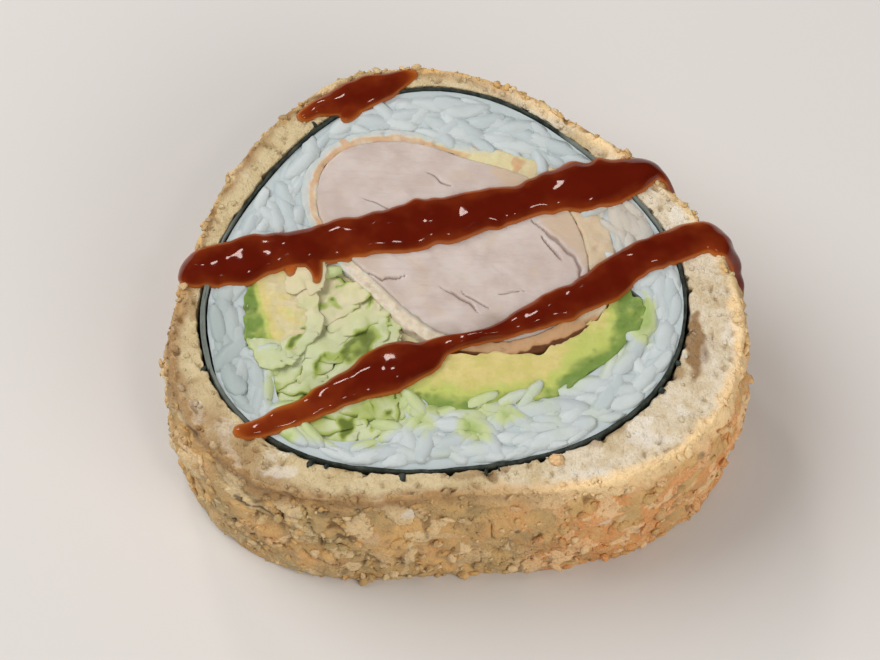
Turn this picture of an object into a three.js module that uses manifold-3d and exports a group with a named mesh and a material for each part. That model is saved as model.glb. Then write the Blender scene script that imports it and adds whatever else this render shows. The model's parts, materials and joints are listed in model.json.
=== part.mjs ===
// One slice of a fried sushi roll, lying on one cut face with the other cut face up.
// A sheet of nori wraps rice and four fillings, which all run through from face to face,
// and a coat of fried breadcrumbs surrounds the nori.
// Millimetres and degrees, +Z up, origin under the middle of the slice.

import * as THREE from "three";
import { mergeVertices } from "three/addons/utils/BufferGeometryUtils.js";
import Module from "manifold-3d";

const wasm = await Module();
wasm.setup();

// Driving dimensions
const sliceThickness = 18;
const pieceGap = 0.3; // clear space between pieces that touch
const noriThickness = 0.6;
const noriOverlap = { extra: 0.5, middle: 186, spread: 17 }; // where the sheet's two ends lie double
const batterThickness = { thin: 1.1, thick: 2.6, thickSide: 5 }; // coating of the chicken
const wallBulge = 0.9; // how far the fried wall swells out between its two cut edges
const crumbHeight = 0.45; // relief of the breadcrumbs on the wall
const crumbledEdge = 0.5; // how far the crust's cut edges are crumbled away

// Outlines on the cut face. Each is an oval of two half sizes, squarer as squareness grows past 2,
// with an optional three-cornered swell, turned about its centre, and perhaps bent along an arc.
const outlines = {
  crust: { centre: [0.6, -1.7], half: [28.4, 25.0], squareness: 2.2, turn: -7, swell: 2.2, swellAt: -13 },
  nori: { centre: [-0.2, -0.8], half: [24.9, 22.9], squareness: 1.9, turn: 5, swell: 1.4, swellAt: -29 },
  chicken: { centre: [1.5, 4.7], half: [15.4, 9.8], squareness: 2.0, turn: -33, swell: 0.8, swellAt: 61 },
  avocadoSlice: { centre: [8.6, -10.9], half: [15.0, 3.0], squareness: 3.0, turn: 18, bend: 17.5 },
  avocadoChunk: { centre: [-16.8, -3.8], half: [3.1, 4.9], squareness: 2.3, turn: -4 },
  lettuce: { centre: [-9.4, -8.8], half: [7.6, 10.0], squareness: 2.2, turn: -8 },
};

// How high each piece stands at the upper cut face, and how uneven the knife left it
const cutFaces = {
  crust: { rise: -0.2, unevenness: 0.3 },
  nori: { rise: 0.1, unevenness: 0.15 },
  rice: { rise: 0.0, unevenness: 0.4 },
  chicken: { rise: 0.2, unevenness: 0.15 },
  batter: { rise: 0.0, unevenness: 0.2 },
  avocadoSlice: { rise: -0.2, unevenness: 0.15 },
  avocadoChunk: { rise: -0.1, unevenness: 0.1 },
  lettuce: { rise: -0.5, unevenness: 0.4 },
};

// Segments round each closed line
const segments = {
  crust: 108, nori: 108, rice: 84, chicken: 64, avocadoSlice: 60, avocadoChunk: 36, lettuce: 54,
};

const radians = THREE.MathUtils.degToRad;

// Distance from an outline's centre to its edge, in a direction measured from its own long axis.
function reachOf({ half, squareness, swell = 0, swellAt = 0 }, direction, grow) {
  const across = Math.abs(Math.cos(direction)) / (half[0] + grow);
  const along = Math.abs(Math.sin(direction)) / (half[1] + grow);
  const oval = (across ** squareness + along ** squareness) ** (-1 / squareness);
  return oval + swell * Math.cos(3 * (direction - radians(swellAt)));
}

// The point of an outline at an angle, with the outline grown by an amount all round.
function edgePoint(outline, angle, grow = 0) {
  const direction = angle - radians(outline.turn);
  const reach = reachOf(outline, direction, grow);
  const point = new THREE.Vector2(reach * Math.cos(direction), reach * Math.sin(direction));
  if (outline.bend) {
    const radius = outline.bend - point.y;
    const swing = point.x / outline.bend;
    point.set(radius * Math.sin(swing), outline.bend - radius * Math.cos(swing));
  }
  point.rotateAround(new THREE.Vector2(), radians(outline.turn));
  return point.add(new THREE.Vector2(...outline.centre));
}

// Height of the upper cut face at a point: the piece's own level plus long, shallow ripples.
function cutHeight({ rise, unevenness }, point) {
  const ripple = Math.sin(0.62 * point.x + 0.9) * Math.cos(0.55 * point.y - 0.4)
    + 0.6 * Math.sin(0.9 * point.x - 1.1 * point.y);
  return sliceThickness + rise + (unevenness * ripple) / 1.6;
}

// Relief of the breadcrumbs: ridges that cross each other at several pitches.
function crumbRelief(angle, z) {
  const ridges = Math.sin(9 * angle + 0.5 * z) + Math.sin(16 * angle - 0.8 * z + 1)
    + Math.sin(27 * angle + 1.1 * z + 2.5) + Math.sin(5 * angle - 1.3 * z + 4);
  return (crumbHeight * ridges) / 2;
}

// How far the fried wall stands out past the cut edge, from 0 at either edge.
function wallSwell(angle, z) {
  const betweenCuts = Math.sin(Math.PI * THREE.MathUtils.clamp(z / sliceThickness, 0, 1));
  return wallBulge * betweenCuts + crumbRelief(angle, z) * Math.min(1, 2 * betweenCuts);
}

// Thickness of the nori, doubled where its ends overlap.
function noriThicknessAt(angle) {
  const past = THREE.MathUtils.euclideanModulo(angle - radians(noriOverlap.middle), 2 * Math.PI);
  const fromMiddle = Math.min(past, 2 * Math.PI - past) / radians(noriOverlap.spread);
  return noriThickness + noriOverlap.extra * Math.exp(-(fromMiddle ** 8));
}

// Thickness of the batter round the chicken, thickest on one side.
function batterThicknessAt(angle) {
  const { thin, thick, thickSide } = batterThickness;
  const towards = (1 + Math.cos(angle - radians(thickSide))) / 2;
  return thin + (thick - thin) * towards ** 4;
}

// A lathed body whose points are moved by place(radius, angle, z), with its seam and poles welded.
function reshapedLathe(profile, segmentCount, place) {
  const lathe = new THREE.LatheGeometry(profile.map((corner) => new THREE.Vector2(...corner)), segmentCount);
  lathe.rotateX(Math.PI / 2);
  const position = lathe.getAttribute("position");
  for (let i = 0; i < position.count; i++) {
    const [x, y, z] = [position.getX(i), position.getY(i), position.getZ(i)];
    position.setXYZ(i, ...place(Math.hypot(x, y), Math.atan2(y, x), z));
  }
  return weld(lathe);
}

// Joins equal points and drops the triangles that collapse on the axis.
function weld(geometry) {
  geometry.deleteAttribute("normal");
  geometry.deleteAttribute("uv");
  const welded = mergeVertices(geometry, 1e-4);
  const corners = [];
  for (let i = 0; i < welded.index.count; i += 3) {
    const [a, b, c] = [0, 1, 2].map((corner) => welded.index.getX(i + corner));
    if (a !== b && b !== c && c !== a) corners.push(a, b, c);
  }
  welded.setIndex(corners);
  return welded;
}

// Stretches a height between the flat lower face and the uneven upper one.
function stretched(z, face, point) {
  return (z / sliceThickness) * cutHeight(face, point);
}

// A filled piece: a disc of unit radius drawn out to a closed line, with rings that carry its upper face.
function filledPiece(centre, line, face, rings, segmentCount) {
  const profile = [[0, 0], [1, 0]];
  for (let ring = rings; ring >= 0; ring--) profile.push([ring / rings, sliceThickness]);
  return reshapedLathe(profile, segmentCount, (share, angle, z) => {
    const point = new THREE.Vector2(...centre).lerp(line(angle), share);
    return [point.x, point.y, stretched(z, face, point)];
  });
}

// A ring between two closed lines. Its profile's first value is 0 on the inner line and 1 on the outer.
function ringPiece(profile, innerLine, outerLine, face, segmentCount) {
  const offAxis = 1;
  const closedProfile = [...profile, profile[0]].map(([share, z]) => [share + offAxis, z]);
  return reshapedLathe(closedProfile, segmentCount, (radius, angle, z) => {
    const point = innerLine(angle).lerp(outerLine(angle, z), radius - offAxis);
    return [point.x, point.y, stretched(z, face, point)];
  });
}

// The space inside a closed line, a little taller than the slice so that it cuts right through.
function roomInside(centre, line, segmentCount) {
  const margin = 3;
  const profile = [[0, -margin], [1, -margin], [1, sliceThickness + margin], [0, sliceThickness + margin]];
  return reshapedLathe(profile, segmentCount, (share, angle, z) => {
    const point = new THREE.Vector2(...centre).lerp(line(angle), share);
    return [point.x, point.y, z];
  });
}

function roomFor(name) {
  const line = (angle) => edgePoint(outlines[name], angle, pieceGap);
  return roomInside(outlines[name].centre, line, segments[name]);
}

// Room for the chicken together with its batter.
function roomForChicken() {
  const line = (angle) => edgePoint(outlines.chicken, angle, batterThicknessAt(angle) + 2 * pieceGap);
  return roomInside(outlines.chicken.centre, line, segments.chicken);
}

function toSolid(geometry) {
  const vertProperties = new Float32Array(geometry.getAttribute("position").array);
  const triVerts = new Uint32Array(geometry.index.array);
  return new wasm.Manifold(new wasm.Mesh({ numProp: 3, vertProperties, triVerts }));
}

function toGeometry(solid) {
  const mesh = solid.getMesh();
  const geometry = new THREE.BufferGeometry();
  geometry.setAttribute("position", new THREE.BufferAttribute(mesh.vertProperties, 3));
  geometry.setIndex(new THREE.BufferAttribute(mesh.triVerts, 1));
  return geometry;
}

// Cuts rooms out of a piece. A sliver that this leaves on its own between two fillings is dropped.
function makeRoom(geometry, rooms) {
  const cut = rooms.reduce((solid, room) => solid.subtract(toSolid(room)), toSolid(geometry));
  const [largest] = cut.decompose().sort((a, b) => b.volume() - a.volume());
  return toGeometry(largest);
}

// Fried breadcrumb coat: bumpy outside, cut flat above and below.
function crust() {
  const wallSteps = 7;
  const wallHeight = sliceThickness - 2 * crumbledEdge;
  const profile = [[0, 0], [0.9, 0]];
  for (let step = 0; step <= wallSteps; step++) {
    profile.push([1, crumbledEdge + (wallHeight * step) / wallSteps]);
  }
  profile.push([0.9, sliceThickness], [0.5, sliceThickness], [0, sliceThickness]);
  const innerLine = (angle) => edgePoint(outlines.nori, angle, pieceGap);
  const outerLine = (angle, z) => edgePoint(outlines.crust, angle, wallSwell(angle, z));
  return ringPiece(profile, innerLine, outerLine, cutFaces.crust, segments.crust);
}

const squareProfile = [[0, 0], [1, 0], [1, sliceThickness], [0, sliceThickness]];

// Nori: a thin sheet rolled right round the rice, its ends overlapping on one side.
function nori() {
  const innerLine = (angle) => edgePoint(outlines.nori, angle, -noriThicknessAt(angle));
  const outerLine = (angle) => edgePoint(outlines.nori, angle);
  return ringPiece(squareProfile, innerLine, outerLine, cutFaces.nori, segments.nori);
}

function chicken() {
  const line = (angle) => edgePoint(outlines.chicken, angle);
  return filledPiece(outlines.chicken.centre, line, cutFaces.chicken, 4, segments.chicken);
}

function chickenCoating() {
  const innerLine = (angle) => edgePoint(outlines.chicken, angle, pieceGap);
  const outerLine = (angle) => edgePoint(outlines.chicken, angle, pieceGap + batterThicknessAt(angle));
  return ringPiece(squareProfile, innerLine, outerLine, cutFaces.batter, segments.chicken);
}

function avocadoSlice() {
  const line = (angle) => edgePoint(outlines.avocadoSlice, angle);
  const whole = filledPiece(outlines.avocadoSlice.centre, line, cutFaces.avocadoSlice, 3, segments.avocadoSlice);
  return makeRoom(whole, [roomForChicken()]);
}

function avocadoChunk() {
  const line = (angle) => edgePoint(outlines.avocadoChunk, angle);
  return filledPiece(outlines.avocadoChunk.centre, line, cutFaces.avocadoChunk, 2, segments.avocadoChunk);
}

// Lettuce: a folded bunch squeezed between its neighbours.
function lettuce() {
  const line = (angle) => edgePoint(outlines.lettuce, angle);
  const whole = filledPiece(outlines.lettuce.centre, line, cutFaces.lettuce, 4, segments.lettuce);
  return makeRoom(whole, [roomForChicken(), roomFor("avocadoSlice"), roomFor("avocadoChunk")]);
}

// Rice: packed tight against the nori and round every filling.
function rice() {
  const line = (angle) => edgePoint(outlines.nori, angle, -noriThicknessAt(angle) - pieceGap);
  const whole = filledPiece(outlines.nori.centre, line, cutFaces.rice, 8, segments.rice);
  return makeRoom(whole, [
    roomForChicken(),
    roomFor("avocadoSlice"),
    roomFor("avocadoChunk"),
    roomFor("lettuce"),
  ]);
}

function piece(name, geometry, color, roughness) {
  const material = new THREE.MeshStandardMaterial({ color, roughness, metalness: 0, flatShading: true });
  const mesh = new THREE.Mesh(geometry, material);
  mesh.name = name;
  return mesh;
}

const slice = new THREE.Group();
slice.add(
  piece("crust", crust(), "#c09c68", 0.85),
  piece("nori", nori(), "#2f332a", 0.6),
  piece("rice", rice(), "#cdd2cd", 0.5),
  piece("chicken", chicken(), "#cbbcb3", 0.5),
  piece("chicken_coating", chickenCoating(), "#bfae86", 0.7),
  piece("avocado_slice", avocadoSlice(), "#c6c67c", 0.4),
  piece("avocado_chunk", avocadoChunk(), "#d1c491", 0.4),
  piece("lettuce", lettuce(), "#b9c690", 0.45),
);

// The slice rests on its lower cut face, with the origin under the middle of its box.
const middle = new THREE.Box3().setFromObject(slice).getCenter(new THREE.Vector3());
slice.position.set(-middle.x, -middle.y, 0);

export default slice;
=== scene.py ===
# One slice of a breaded, fried sushi roll, lying on one cut face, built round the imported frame.
# Lengths in the dictionaries are millimetres, colours are the 0 to 255 values of a picture.

import json
import math

import bmesh
import bpy
import numpy as np
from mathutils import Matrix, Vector
from mathutils.bvhtree import BVHTree

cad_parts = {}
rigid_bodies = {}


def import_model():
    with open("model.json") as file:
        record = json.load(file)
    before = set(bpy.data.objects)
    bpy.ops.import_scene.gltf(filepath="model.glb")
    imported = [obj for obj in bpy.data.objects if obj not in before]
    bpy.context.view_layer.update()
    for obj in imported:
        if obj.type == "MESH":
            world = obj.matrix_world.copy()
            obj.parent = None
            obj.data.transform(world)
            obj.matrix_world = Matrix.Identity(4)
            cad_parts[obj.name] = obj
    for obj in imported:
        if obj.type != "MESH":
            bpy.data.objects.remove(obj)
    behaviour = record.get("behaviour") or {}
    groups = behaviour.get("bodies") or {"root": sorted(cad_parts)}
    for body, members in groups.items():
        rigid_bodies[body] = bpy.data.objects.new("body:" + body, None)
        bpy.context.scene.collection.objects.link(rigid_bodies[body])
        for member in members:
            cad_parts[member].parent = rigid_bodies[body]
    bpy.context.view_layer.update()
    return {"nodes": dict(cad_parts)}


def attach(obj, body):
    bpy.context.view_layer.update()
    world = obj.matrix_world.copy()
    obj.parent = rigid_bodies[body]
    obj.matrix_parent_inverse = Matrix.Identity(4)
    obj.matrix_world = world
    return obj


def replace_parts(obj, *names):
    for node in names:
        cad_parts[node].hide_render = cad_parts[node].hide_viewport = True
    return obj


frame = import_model()
mm = 0.001
sliceHeight = 18.0
halfHeight = sliceHeight / 2
faceMiddle = np.array([-1.509, 0.023])  # zero point of the places that were read off the cut face


# Shapes

def onFace(places):
    # places on the cut face, moved to the frame
    return np.array(places, float) + faceMiddle


def fromFace(points):
    # x and y of points in the frame, measured on the cut face
    return points[..., 0] - faceMiddle[0], points[..., 1] - faceMiddle[1]


def unit(vectors):
    return vectors / np.maximum(np.linalg.norm(vectors, axis=-1, keepdims=True), 1e-12)


def smoothStep(values, low, high):
    # 0 below low, 1 above high, and 3t^2 - 2t^3 between
    share = np.clip((values - low) / (high - low), 0, 1)
    return share * share * (3 - 2 * share)


def spot(x, y, place, size, near, far, ragged=0.0):
    # 1 at a place, falling to 0 between near and far, both in shares of its half width and half height
    away = np.hypot((x - place[0]) / size[0], (y - place[1]) / size[1])
    return 1 - smoothStep(away + ragged, near, far)


def rounded(values, passes, axis=0, closed=True):
    # averages each value with its two neighbours, a quarter, a half and a quarter
    for _ in range(passes):
        before, after = np.roll(values, 1, axis), np.roll(values, -1, axis)
        averaged = 0.25 * before + 0.5 * values + 0.25 * after
        if not closed:  # the two ends keep their own values
            ends = [slice(None)] * values.ndim
            for end in (0, -1):
                ends[axis] = end
                averaged[tuple(ends)] = values[tuple(ends)]
        values = averaged
    return values


def hashed(cells, seed):
    # whole cell numbers and a seed mixed to evenly spread values from 0 to 1
    whole = cells.astype(np.int64).astype(np.uint64)
    mixed = whole[..., 0] * np.uint64(73856093) ^ whole[..., 1] * np.uint64(19349663)
    mixed = (mixed ^ whole[..., 2] * np.uint64(83492791)) + np.uint64(seed * 2654435761 + 977)
    for shift, factor in ((15, 2246822519), (13, 3266489917)):
        mixed = mixed & np.uint64(0xFFFFFFFF)
        mixed = (mixed ^ (mixed >> np.uint64(shift))) * np.uint64(factor)
    mixed = mixed & np.uint64(0xFFFFFFFF)
    return (mixed ^ (mixed >> np.uint64(16))).astype(float) / 4294967295.0


latticeTurn = np.array([[0.36, 0.48, -0.8], [-0.8, 0.6, 0.0], [0.48, 0.64, 0.6]])


def noise(points, size, seed=0, octaves=1):
    # random values on a cubic lattice, blended smoothly, each octave half the size: about -1 to 1
    total, weight, strength = 0.0, 0.0, 1.0
    place = points / size @ latticeTurn + 11.3
    for octave in range(octaves):
        cell = np.floor(place)
        share = place - cell
        share = share * share * (3 - 2 * share)
        for corner in np.ndindex(2, 2, 2):
            pull = np.where(corner, share, 1 - share).prod(-1)
            total = total + strength * pull * (2 * hashed(cell + corner, seed + 7 * octave) - 1)
        weight += strength
        strength *= 0.55
        place = place @ latticeTurn * 2.03 + 5.7
    return total / weight * 1.6


def lumps(points, size, seed=0):
    # round bumps: 1 at the nearest of many random centres, falling to 0 between them,
    # and a random value that is the same all over each bump
    place = points / size @ latticeTurn + 23.7
    cell = np.floor(place)
    nearest = np.full(place.shape[:-1], 9.0)
    own = np.zeros(place.shape[:-1])
    for step in np.ndindex(3, 3, 3):
        near = cell + step - 1
        centre = near + np.stack([hashed(near, seed + k) for k in range(3)], -1)
        distance = ((place - centre) ** 2).sum(-1)
        own = np.where(distance < nearest, hashed(near, seed + 3), own)
        nearest = np.minimum(nearest, distance)
    return 1 - np.sqrt(nearest), own


def cutEdges(node, height=halfHeight):
    # where a level plane cuts a node's triangles: one short line each, given by its two ends
    mesh = frame["nodes"][node].data
    mesh.calc_loop_triangles()
    corners = np.empty(len(mesh.vertices) * 3)
    mesh.vertices.foreach_get("co", corners)
    triangles = np.empty(len(mesh.loop_triangles) * 3, np.int32)
    mesh.loop_triangles.foreach_get("vertices", triangles)
    triangles = corners.reshape(-1, 3)[triangles.reshape(-1, 3)] / mm
    following = np.roll(triangles, -1, 1)
    crossing = (triangles[..., 2] > height) != (following[..., 2] > height)
    rise = np.where(crossing, following[..., 2] - triangles[..., 2], 1)
    share = (height - triangles[..., 2]) / rise
    points = triangles + share[..., None] * (following - triangles)
    cut = crossing.sum(1) == 2
    return points[cut][crossing[cut]].reshape(-1, 2, 3)[..., :2]


def reach(edges, starts, directions, farthest=False):
    # distance from each start, in its direction, to the first or last edge that it meets
    cross = lambda a, b: a[..., 0] * b[..., 1] - a[..., 1] * b[..., 0]
    edge = (edges[:, 1] - edges[:, 0])[None]
    toEdge = edges[None, :, 0] - starts[:, None]
    turn = cross(directions[:, None], edge)
    turn = np.where(np.abs(turn) < 1e-9, 1e-9, turn)
    along = cross(toEdge, edge) / turn
    share = cross(toEdge, directions[:, None]) / turn
    met = (share > -1e-4) & (share < 1.0001) & (along > 0)
    return np.where(met, along, 0).max(1) if farthest else np.where(met, along, 99).min(1)


def edgeDistance(edges, points):
    # distance to the nearest edge, negative outside the outline
    edge = edges[:, 1] - edges[:, 0]
    offset = points[:, None] - edges[None, :, 0]
    share = np.clip((offset * edge).sum(-1) / np.maximum((edge ** 2).sum(-1), 1e-12), 0, 1)
    nearest = np.linalg.norm(offset - share[..., None] * edge, axis=-1).min(1)
    low, high = edges[:, 0, 1], edges[:, 1, 1]
    span = (low > points[:, 1:]) != (high > points[:, 1:])
    slope = (points[:, 1:] - low) / np.where(span, high - low, 1)
    right = span & (points[:, :1] < edges[:, 0, 0] + slope * edge[:, 0])
    return np.where(right.sum(1) % 2 == 1, nearest, -nearest)


def fan(columns, middle, halfLine=0.0, turn=0.0, bend=1e6):
    # starts on a short line that may be bent along an arc, and directions that spread from it:
    # the start is halfLine*cos(a) along the line and the direction is (cos a, sin a), for a once round
    a = np.arange(columns) / columns * 2 * np.pi
    swing = halfLine * np.cos(a) / bend
    start = np.stack([bend * np.sin(swing), bend * (1 - np.cos(swing))], -1)
    heading = a + swing
    direction = np.stack([np.cos(heading), np.sin(heading)], -1)
    c, s = math.cos(math.radians(turn)), math.sin(math.radians(turn))
    tilt = np.array([[c, s], [-s, c]])
    return start @ tilt + np.array(middle), direction @ tilt


def upright(starts, directions, radius, level):
    # rows of points, each a given way out from its start, and each row at its own height
    flat = starts + radius[..., None] * directions
    return np.concatenate([flat, np.broadcast_to(level[:, None, None], (*radius.shape, 1))], -1)


def band(starts, directions, inner, outerWall, heights, faceRows, innerRows):
    # a closed ring: its section goes up the outer wall, in over the top, down inside and out below
    share = np.linspace(1, 0, faceRows + 2)[1:-1, None]
    top, bottom = outerWall[-1], outerWall[0]
    radius = np.concatenate([outerWall, inner + share * (top - inner),
                             np.repeat(inner[None], innerRows, 0), inner + share[::-1] * (bottom - inner)])
    level = np.concatenate([heights, np.full(faceRows, heights[-1]),
                            np.linspace(heights[-1], heights[0], innerRows), np.full(faceRows, heights[0])])
    return upright(starts, directions, radius, level)


def puck(starts, directions, outer, heights, faceRows, power=0.8):
    # a closed disc: out from the middle line over the top, down the side and back in below
    share = (np.linspace(0, 1, faceRows + 1)[:-1, None]) ** power
    radius = np.concatenate([share * outer, np.repeat(outer[None], len(heights), 0), share[::-1] * outer])
    level = np.concatenate([np.full(faceRows, heights[0]), heights, np.full(faceRows, heights[-1])])
    return upright(starts, directions, radius, level)


def onFaces(grid):
    # which points are in the upper half, and which lie on one of the two cut faces
    return grid[..., 2] > halfHeight, np.abs(grid[..., 2] - halfHeight) > halfHeight - 1


def normalsOf(points, rowsClose):
    # at each point the cross product of the steps to its neighbours, turned to point outwards
    across = np.roll(points, -1, -2) - np.roll(points, 1, -2)
    along = np.roll(points, -1, -3) - np.roll(points, 1, -3) if rowsClose else np.gradient(points, axis=-3)
    normal = unit(np.cross(across, along))
    highest = np.unravel_index(points[..., 2].argmax(), points.shape[:-1])
    return normal * (1 if normal[highest][2] > 0 else -1)


def ball(rows, columns):
    # a unit ball: rows from pole to pole along its X axis, columns round it
    down = np.linspace(0, np.pi, rows)[:, None]
    turn = np.arange(columns) / columns * 2 * np.pi
    return np.stack([np.cos(down) + 0 * turn, np.sin(down) * np.cos(turn), np.sin(down) * np.sin(turn)], -1)


def jagged(rng, count):
    # many small balls whose points are pushed in and out at random
    shape = ball(6, 8)[None] * rng.uniform(0.72, 1.25, (count, 6, 8, 1))
    shape[:, [0, -1]] = shape[:, [0, -1]].mean(2, keepdims=True)
    return shape


def frames(normals, angles):
    # three axes for each copy: two across its normal, turned by an angle, and the normal itself
    aside = unit(np.cross(normals, np.array([0.31, 0.22, 0.93])))
    over = np.cross(normals, aside)
    c, s = np.cos(angles)[:, None], np.sin(angles)[:, None]
    return np.stack([c * aside + s * over, c * over - s * aside, normals], 1)


def copies(shapes, axes, centres):
    # each shape turned by its own three axes and moved to its own centre
    return np.einsum("nrci,nij->nrcj", shapes, axes) + centres[:, None, None]


def feet(count, low, spread, first=0.0):
    # heights in uneven steps, so that the undersides of neighbours never lie in one plane
    return (low + spread * ((0.618 * np.arange(count) + first) % 1))[:, None, None]


def surface(name, points, material, slot, rowsClose=False, smooth=True, **tones):
    # joins a grid (or many copies of one) into a mesh, merges its poles and seams, and adds tones
    points = points.reshape(-1, *points.shape[-3:])
    corner = np.arange(points[..., 0].size).reshape(points.shape[:3])
    here, down = (corner, np.roll(corner, -1, 1)) if rowsClose else (corner[:, :-1], corner[:, 1:])
    faces = np.stack([here, np.roll(here, -1, 2), np.roll(down, -1, 2), down], -1).reshape(-1, 4)
    mesh = bpy.data.meshes.new(name)
    mesh.from_pydata((points.reshape(-1, 3) * mm).tolist(), [], faces.tolist())
    for tone, values in tones.items():
        spread = np.broadcast_to(values, points.shape[:3]).astype(np.float32).ravel()
        mesh.attributes.new(tone, "FLOAT", "POINT").data.foreach_set("value", spread)
    return finished(name, mesh, material, smooth)


def finished(name, mesh, material, smooth=True):
    shell = bmesh.new()
    shell.from_mesh(mesh)
    bmesh.ops.remove_doubles(shell, verts=shell.verts, dist=2e-7)
    bmesh.ops.recalc_face_normals(shell, faces=shell.faces)
    shell.to_mesh(mesh)
    shell.free()
    mesh.polygons.foreach_set("use_smooth", np.full(len(mesh.polygons), smooth))
    mesh.materials.append(material)
    piece = bpy.data.objects.new(name, mesh)
    bpy.context.scene.collection.objects.link(piece)
    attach(piece, "root")
    print(name, len(mesh.polygons), "faces")
    return piece


def clippedCore(name, node, low, high, grow, material, slot):
    # a copy of a CAD node, grown sideways along its normals to close the gaps between the solids,
    # and with its two faces pressed in to lie under what covers them
    mesh = frame["nodes"][node].data.copy()
    mesh.name = name
    mesh.materials.clear()
    core = finished(name, mesh, material, smooth=False)
    corners, normals = np.empty(len(mesh.vertices) * 3), np.empty(len(mesh.vertices) * 3)
    mesh.vertices.foreach_get("co", corners)
    mesh.vertices.foreach_get("normal", normals)
    corners, normals = corners.reshape(-1, 3), normals.reshape(-1, 3)
    atSide = np.abs(normals[:, :2]).sum(1, keepdims=True) > 0.2
    corners[:, :2] += unit(normals[:, :2]) * grow * mm * atSide
    corners[:, 2] = np.clip(corners[:, 2], low * mm, high * mm)
    mesh.vertices.foreach_set("co", corners.ravel())
    mesh.update()
    return core


# Materials

def colour(values):
    # picture values to the linear light that shaders take
    share = np.array(values, float) / 255
    linear = np.where(share <= 0.04045, share / 12.92, ((share + 0.055) / 1.055) ** 2.4)
    return (*(float(v) for v in linear), 1.0)


class Wire:
    # a shader socket that takes part in sums
    def __init__(self, finish, socket):
        self.finish, self.socket = finish, socket

    def math(self, operation, *values):
        return self.finish.add("ShaderNodeMath", {"operation": operation}, dict(enumerate(values)))

    def __add__(self, other):
        return self.math("ADD", self, other)

    def __sub__(self, other):
        return self.math("SUBTRACT", self, other)

    def __rsub__(self, other):
        return self.math("SUBTRACT", other, self)

    def __mul__(self, other):
        return self.math("MULTIPLY", self, other)

    __radd__, __rmul__ = __add__, __mul__

    def between(self, low, high):
        # 0 up to low, 1 from high, smooth between
        return self.finish.add("ShaderNodeMapRange", {"interpolation_type": "SMOOTHSTEP"},
                               {"Value": self, "From Min": low, "From Max": high})


class Finish:
    # a material being put together; values that are the same all over go straight on its shader
    def __init__(self, name, **values):
        self.material = bpy.data.materials.new(name)
        self.material.use_nodes = True
        self.tree = self.material.node_tree
        self.shader = self.tree.nodes["Principled BSDF"]
        for socket, value in values.items():
            self.shader.inputs[socket.replace("_", " ")].default_value = value
        self.place = self.add("ShaderNodeTexCoord", {}, {}, "Object")

    def add(self, kind, settings, sockets, output=0):
        node = self.tree.nodes.new(kind)
        for setting, value in settings.items():
            setattr(node, setting, value)
        for socket, value in sockets.items():
            if isinstance(value, Wire):
                self.tree.links.new(value.socket, node.inputs[socket])
            else:
                node.inputs[socket].default_value = value
        return Wire(self, node.outputs[output])

    def noise(self, size, detail=3.0, rough=0.55, stretch=None):
        place = self.place
        if stretch:
            turn, scale = stretch
            place = self.add("ShaderNodeMapping", {}, {"Vector": place, "Rotation": turn, "Scale": scale})
        return self.add("ShaderNodeTexNoise", {}, {"Vector": place, "Scale": 1 / (size * mm),
                                                   "Detail": detail, "Roughness": rough})

    def tone(self, name):
        return self.add("ShaderNodeAttribute", {"attribute_name": name}, {}, "Fac")

    def mix(self, share, first, second):
        plain = lambda value: value if isinstance(value, Wire) else colour(value)
        return self.add("ShaderNodeMix", {"data_type": "RGBA"},
                        {0: share, 6: plain(first), 7: plain(second)}, 2)

    def layers(self, base, *tints):
        # colours laid over a base one after the other, each with its own mask
        for share, tint in tints:
            base = self.mix(share, base, tint)
        return base

    def feed(self, height=None, depth=0.1, **links):
        # links the colour and the rest, and a bump whose full height is depth
        if height is not None:
            links["Normal"] = self.add("ShaderNodeBump", {}, {"Height": height, "Distance": depth * mm})
        for socket, wire in links.items():
            self.tree.links.new(wire.socket, self.shader.inputs[socket.replace("_", " ")])
        return self.material


# Camera, floor and light

view = {"elevation": 60, "distance": 400, "lens": 160, "aim": (-1.73, -4.58, 15.35)}
studio = {
    "floor": (212, 209, 205), "world": (232, 238, 245), "worldStrength": 0.3,
    "lights": [  # name, place, aimed at, size, watts, colour
        ("window", (-560, 180, 700), (0, 0, 10), 800, 7.2, (250, 250, 250)),
        ("bounce", (380, -480, 380), (0, 0, 8), 600, 2.6, (255, 248, 238)),
        ("farLamp", (-170, 430, 400), (0, 0, 15), 90, 0.42, (255, 234, 226)),
        ("nearLamp", (150, -300, 560), (0, 0, 15), 90, 0.4, (255, 234, 226)),
    ],
}


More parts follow.
